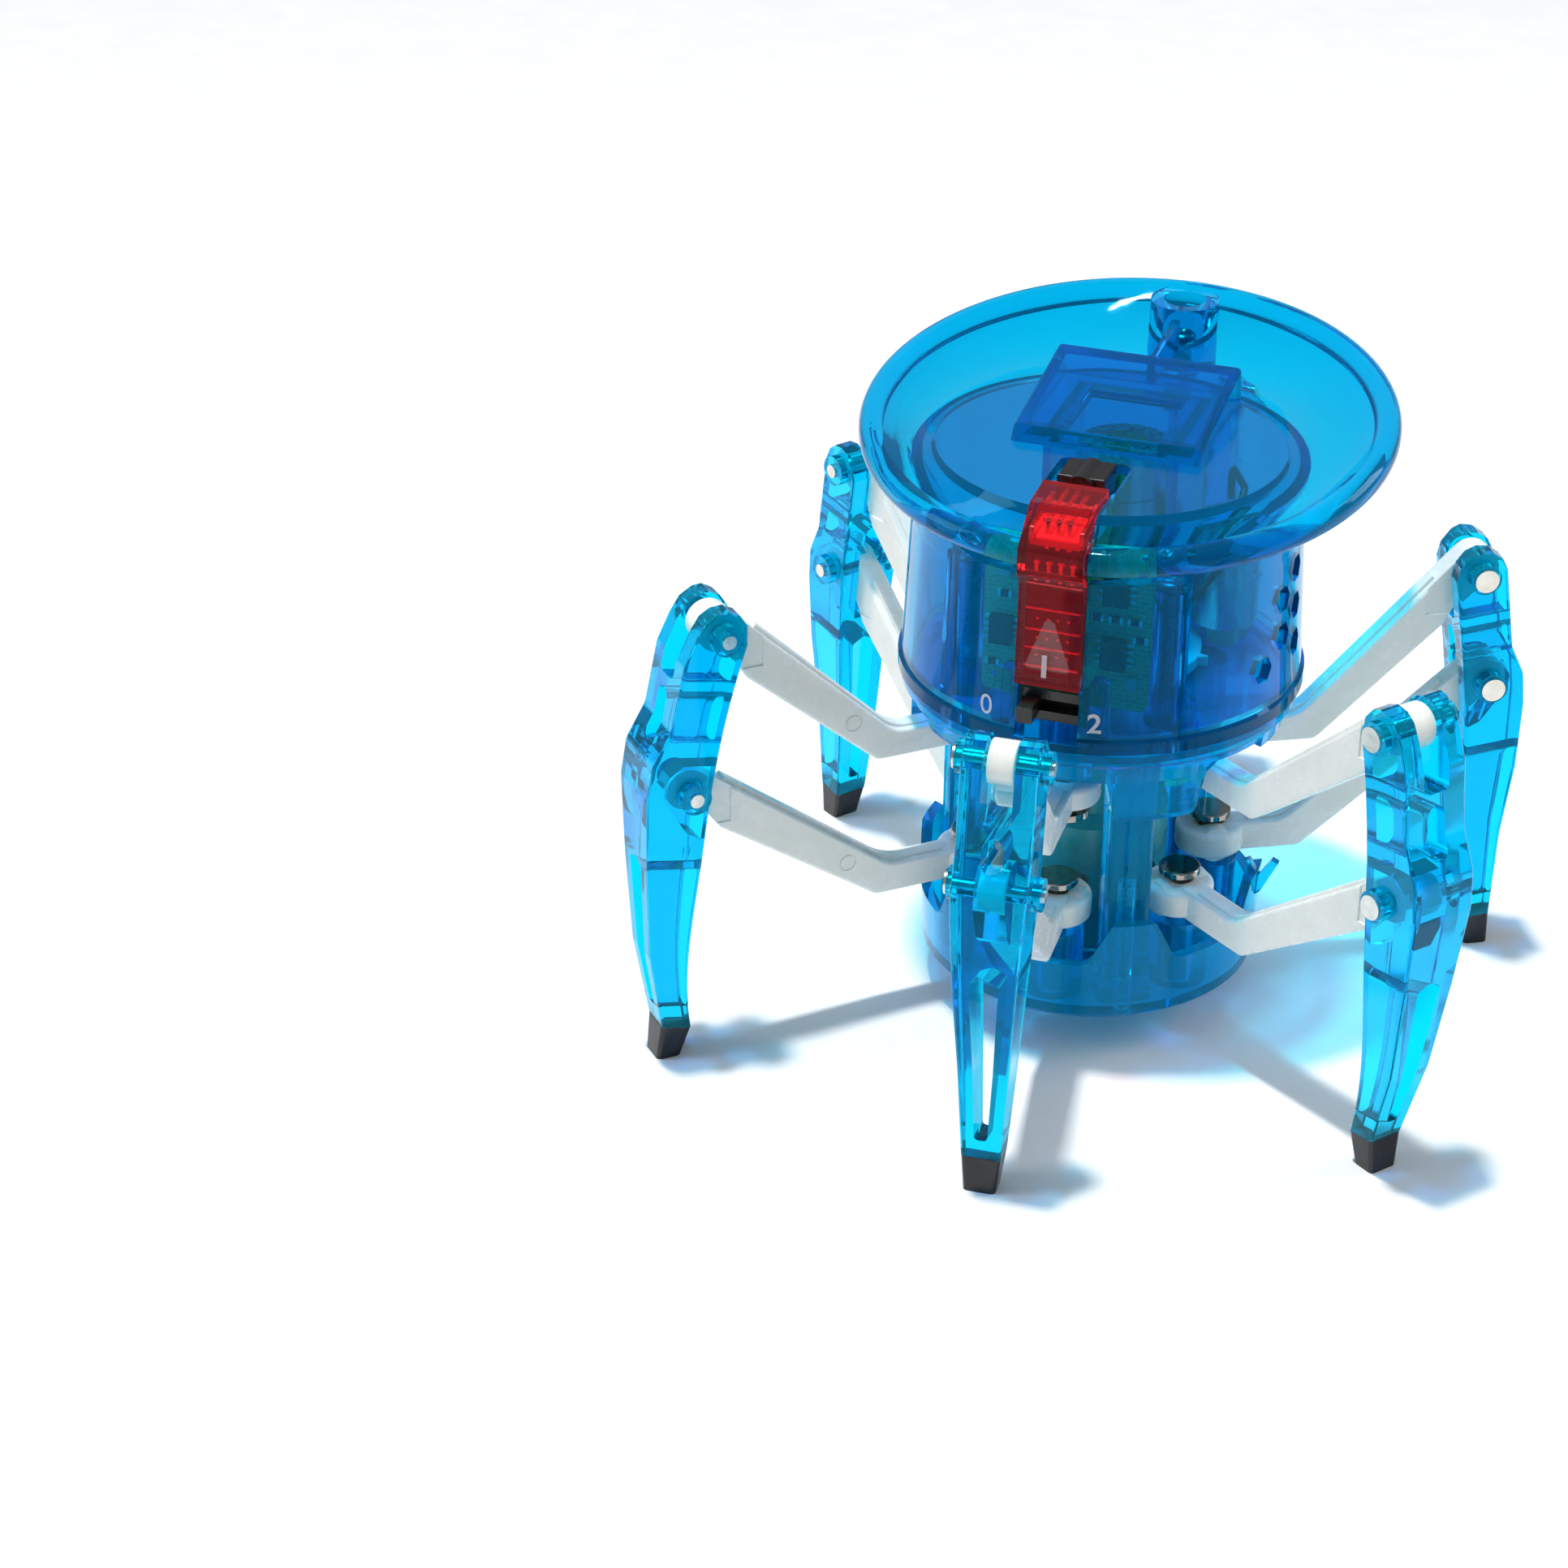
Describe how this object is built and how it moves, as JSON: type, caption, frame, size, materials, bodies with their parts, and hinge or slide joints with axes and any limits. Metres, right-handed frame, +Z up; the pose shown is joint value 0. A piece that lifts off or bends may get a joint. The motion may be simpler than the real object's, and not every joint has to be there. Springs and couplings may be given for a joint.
{
  "type": "hexapod spider robot",
  "caption": "Walking toy robot with a turning transparent head on a round base dish and slim hinged legs, each a double arm and a forked clear lower leg.",
  "frame": {"origin": "centre of the flat underside of the base dish, on the turning axis of the head", "axes": "+Z up along the head's axis; -Y is the front, where the head's red lens and the front leg point; +X is to the right of someone who faces the robot, and left and right in the node names are meant that way"},
  "size_m": [0.0982, 0.1114, 0.0773],
  "materials": {
    "clear_blue": "transparent azure polycarbonate, glossy moulded surface",
    "clear_blue_chassis": "transparent azure polycarbonate, chassis mouldings",
    "clear_blue_leg": "transparent bright azure polycarbonate, leg mouldings",
    "clear_red": "transparent red lens",
    "teal_box": "blue-green moulded gearbox",
    "nylon": "pale grey-green self-lubricating nylon",
    "rubber_black": "glossy black soft foot",
    "nickel": "bright nickel-plated steel pins",
    "screw_steel": "zinc-plated steel screws",
    "black_plastic": "black moulded plastic",
    "board_green": "green solder mask on glass-fibre board",
    "cell_steel": "nickel-plated cell cans",
    "contact_brass": "sprung contact strip",
    "gear_white": "white acetal gears",
    "motor_can": "drawn steel motor can",
    "wire_black": "black flexible insulation"
  },
  "bodies": {
    "chassis": {"chassis_base": "clear_blue_chassis", "chassis_top": "clear_blue_chassis", "chassis_screws": "screw_steel", "upper_hip_pins": "nickel", "neck_gear": "gear_white", "gearbox_housing": "teal_box", "walk_motor": "motor_can"},
    "head": {"head_visor": "clear_blue", "head_cup": "clear_blue", "battery_hatch": "clear_blue", "red_lens": "clear_red", "ir_receiver": "black_plastic", "circuit_board": "board_green", "switch_case": "black_plastic", "button_cells": "cell_steel", "battery_contacts": "contact_brass", "head_screws": "screw_steel", "turn_motor": "motor_can", "motor_wires": "wire_black"},
    "switch_knob": {"switch_knob": "black_plastic"},
    "turn_pinion": {"turn_pinion": "gear_white"},
    "motor_pinion": {"motor_pinion": "gear_white"},
    "idler_gear": {"idler_gear": "gear_white"},
    "crank_shaft": {"crank_shaft": "gear_white"},
    "hip_front": {"hip_pin_front": "nickel"},
    "lower_arm_front": {"lower_arm_front": "nylon"},
    "lower_leg_front": {"lower_leg_front": "clear_blue_leg", "foot_tip_front": "rubber_black", "knee_pins_front": "nickel"},
    "upper_arm_front": {"upper_arm_front": "nylon"},
    "hip_front_right": {"hip_pin_front_right": "nickel"},
    "lower_arm_front_right": {"lower_arm_front_right": "nylon"},
    "lower_leg_front_right": {"lower_leg_front_right": "clear_blue_leg", "foot_tip_front_right": "rubber_black", "knee_pins_front_right": "nickel"},
    "upper_arm_front_right": {"upper_arm_front_right": "nylon"},
    "hip_rear_right": {"hip_pin_rear_right": "nickel"},
    "lower_arm_rear_right": {"lower_arm_rear_right": "nylon"},
    "lower_leg_rear_right": {"lower_leg_rear_right": "clear_blue_leg", "foot_tip_rear_right": "rubber_black", "knee_pins_rear_right": "nickel"},
    "upper_arm_rear_right": {"upper_arm_rear_right": "nylon"},
    "hip_rear": {"hip_pin_rear": "nickel"},
    "lower_arm_rear": {"lower_arm_rear": "nylon"},
    "lower_leg_rear": {"lower_leg_rear": "clear_blue_leg", "foot_tip_rear": "rubber_black", "knee_pins_rear": "nickel"},
    "upper_arm_rear": {"upper_arm_rear": "nylon"},
    "hip_rear_left": {"hip_pin_rear_left": "nickel"},
    "lower_arm_rear_left": {"lower_arm_rear_left": "nylon"},
    "lower_leg_rear_left": {"lower_leg_rear_left": "clear_blue_leg", "foot_tip_rear_left": "rubber_black", "knee_pins_rear_left": "nickel"},
    "upper_arm_rear_left": {"upper_arm_rear_left": "nylon"},
    "hip_front_left": {"hip_pin_front_left": "nickel"},
    "lower_arm_front_left": {"lower_arm_front_left": "nylon"},
    "lower_leg_front_left": {"lower_leg_front_left": "clear_blue_leg", "foot_tip_front_left": "rubber_black", "knee_pins_front_left": "nickel"},
    "upper_arm_front_left": {"upper_arm_front_left": "nylon"}
  },
  "joints": [
    {"name": "crank_spin", "type": "hinge", "parent": "chassis", "child": "crank_shaft", "pos_m": [0, 0, 0.0084], "axis": [0, 0, 1], "continuous": true},
    {"name": "idler_spin", "type": "hinge", "parent": "chassis", "child": "idler_gear", "pos_m": [0.00448, 0, 0.016], "axis": [0, 0, 1], "continuous": true},
    {"name": "walk_pinion_spin", "type": "hinge", "parent": "chassis", "child": "motor_pinion", "pos_m": [0, 0, 0.0179], "axis": [0, 0, 1], "continuous": true},
    {"name": "head_turn", "type": "hinge", "parent": "chassis", "child": "head", "pos_m": [0, 0, 0.0378], "axis": [0, 0, 1], "continuous": true},
    {"name": "turn_pinion_spin", "type": "hinge", "parent": "head", "child": "turn_pinion", "pos_m": [0.01308, 0.00755, 0.0405], "axis": [0, 0, 1], "continuous": true},
    {"name": "switch_slide", "type": "slide", "parent": "head", "child": "switch_knob", "axis": [1, 0, 0], "range_m": [0, 0.0044]},
    {"name": "hip_swing_front", "type": "hinge", "parent": "chassis", "child": "hip_front", "pos_m": [0, -0.015, 0.0128], "axis": [0, 0, 1], "range_deg": [-15.6, 9.4]},
    {"name": "leg_lift_front", "type": "hinge", "parent": "hip_front", "child": "lower_arm_front", "pos_m": [0, -0.015, 0.0128], "axis": [-0.9985, -0.0541, 0], "range_deg": [-3, 4.5]},
    {"name": "lower_knee_front", "type": "hinge", "parent": "lower_arm_front", "child": "lower_leg_front", "pos_m": [0.00176, -0.04755, 0.0328], "axis": [-0.9985, -0.0541, 0], "range_deg": [-5, 3.5]},
    {"name": "upper_knee_front", "type": "hinge", "parent": "lower_leg_front", "child": "upper_arm_front", "pos_m": [0.00166, -0.04562, 0.04747], "axis": [-0.9985, -0.0541, 0], "range_deg": [-3.5, 5]},
    {"name": "hip_swing_front_right", "type": "hinge", "parent": "chassis", "child": "hip_front_right", "pos_m": [0.01299, -0.0075, 0.0128], "axis": [0, 0, 1], "range_deg": [-4, 21]},
    {"name": "leg_lift_front_right", "type": "hinge", "parent": "hip_front_right", "child": "lower_arm_front_right", "pos_m": [0.01299, -0.0075, 0.0128], "axis": [-0.5948, -0.8039, 0], "range_deg": [-3, 4.5]},
    {"name": "lower_knee_front_right", "type": "hinge", "parent": "lower_arm_front_right", "child": "lower_leg_front_right", "pos_m": [0.04378, -0.03028, 0.0312], "axis": [-0.5948, -0.8039, 0], "range_deg": [-5, 3.5]},
    {"name": "upper_knee_front_right", "type": "hinge", "parent": "lower_leg_front_right", "child": "upper_arm_front_right", "pos_m": [0.04199, -0.02896, 0.05098], "axis": [-0.5948, -0.8039, 0], "range_deg": [-3.5, 5]},
    {"name": "hip_swing_rear_right", "type": "hinge", "parent": "chassis", "child": "hip_rear_right", "pos_m": [0.01299, 0.0075, 0.0128], "axis": [0, 0, 1], "range_deg": [-11.4, 13.6]},
    {"name": "leg_lift_rear_right", "type": "hinge", "parent": "hip_rear_right", "child": "lower_arm_rear_right", "pos_m": [0.01299, 0.0075, 0.0128], "axis": [0.4833, -0.8755, 0], "range_deg": [-3, 4.5]},
    {"name": "lower_knee_rear_right", "type": "hinge", "parent": "lower_arm_rear_right", "child": "lower_leg_rear_right", "pos_m": [0.04153, 0.02326, 0.0328], "axis": [0.4833, -0.8755, 0], "range_deg": [-5, 3.5]},
    {"name": "upper_knee_rear_right", "type": "hinge", "parent": "lower_leg_rear_right", "child": "upper_arm_rear_right", "pos_m": [0.03957, 0.02217, 0.04743], "axis": [0.4833, -0.8755, 0], "range_deg": [-3.5, 5]},
    {"name": "hip_swing_rear", "type": "hinge", "parent": "chassis", "child": "hip_rear", "pos_m": [0, 0.015, 0.0128], "axis": [0, 0, 1], "range_deg": [-10.5, 14.5]},
    {"name": "leg_lift_rear", "type": "hinge", "parent": "hip_rear", "child": "lower_arm_rear", "pos_m": [0, 0.015, 0.0128], "axis": [1, 0, 0], "range_deg": [-3, 4.5]},
    {"name": "lower_knee_rear", "type": "hinge", "parent": "lower_arm_rear", "child": "lower_leg_rear", "pos_m": [0, 0.0533, 0.0312], "axis": [1, 0, 0], "range_deg": [-5, 3.5]},
    {"name": "upper_knee_rear", "type": "hinge", "parent": "lower_leg_rear", "child": "upper_arm_rear", "pos_m": [0, 0.05019, 0.05085], "axis": [1, 0, 0], "range_deg": [-3.5, 5]},
    {"name": "hip_swing_rear_left", "type": "hinge", "parent": "chassis", "child": "hip_rear_left", "pos_m": [-0.01299, 0.0075, 0.0128], "axis": [0, 0, 1], "range_deg": [-7.6, 17.4]},
    {"name": "leg_lift_rear_left", "type": "hinge", "parent": "hip_rear_left", "child": "lower_arm_rear_left", "pos_m": [-0.01299, 0.0075, 0.0128], "axis": [0.5721, 0.8202, 0], "range_deg": [-3, 4.5]},
    {"name": "lower_knee_rear_left", "type": "hinge", "parent": "lower_arm_rear_left", "child": "lower_leg_rear_left", "pos_m": [-0.03973, 0.02615, 0.0328], "axis": [0.5721, 0.8202, 0], "range_deg": [-5, 3.5]},
    {"name": "upper_knee_rear_left", "type": "hinge", "parent": "lower_leg_rear_left", "child": "upper_arm_rear_left", "pos_m": [-0.03795, 0.02491, 0.04744], "axis": [0.5721, 0.8202, 0], "range_deg": [-3.5, 5]},
    {"name": "hip_swing_front_left", "type": "hinge", "parent": "chassis", "child": "hip_front_left", "pos_m": [-0.01299, -0.0075, 0.0128], "axis": [0, 0, 1], "range_deg": [-24.3, 0.7]},
    {"name": "leg_lift_front_left", "type": "hinge", "parent": "hip_front_left", "child": "lower_arm_front_left", "pos_m": [-0.01299, -0.0075, 0.0128], "axis": [-0.6921, 0.7218, 0], "range_deg": [-3, 4.5]},
    {"name": "lower_knee_front_left", "type": "hinge", "parent": "lower_arm_front_left", "child": "lower_leg_front_left", "pos_m": [-0.04063, -0.03401, 0.0312], "axis": [-0.6921, 0.7218, 0], "range_deg": [-5, 3.5]},
    {"name": "upper_knee_front_left", "type": "hinge", "parent": "lower_leg_front_left", "child": "upper_arm_front_left", "pos_m": [-0.0377, -0.03119, 0.05068], "axis": [-0.6921, 0.7218, 0], "range_deg": [-3.5, 5]}
  ],
  "couplings": [
    {"joint": "idler_spin", "follows": "crank_spin", "ratio": -1.75},
    {"joint": "walk_pinion_spin", "follows": "crank_spin", "ratio": 3.0625},
    {"joint": "turn_pinion_spin", "follows": "head_turn", "ratio": 5},
    {"joint": "lower_knee_front", "follows": "leg_lift_front", "ratio": -1},
    {"joint": "upper_knee_front", "follows": "leg_lift_front", "ratio": 1},
    {"joint": "lower_knee_front_right", "follows": "leg_lift_front_right", "ratio": -1},
    {"joint": "upper_knee_front_right", "follows": "leg_lift_front_right", "ratio": 1},
    {"joint": "lower_knee_rear_right", "follows": "leg_lift_rear_right", "ratio": -1},
    {"joint": "upper_knee_rear_right", "follows": "leg_lift_rear_right", "ratio": 1},
    {"joint": "lower_knee_rear", "follows": "leg_lift_rear", "ratio": -1},
    {"joint": "upper_knee_rear", "follows": "leg_lift_rear", "ratio": 1},
    {"joint": "lower_knee_rear_left", "follows": "leg_lift_rear_left", "ratio": -1},
    {"joint": "upper_knee_rear_left", "follows": "leg_lift_rear_left", "ratio": 1},
    {"joint": "lower_knee_front_left", "follows": "leg_lift_front_left", "ratio": -1},
    {"joint": "upper_knee_front_left", "follows": "leg_lift_front_left", "ratio": 1}
  ]
}
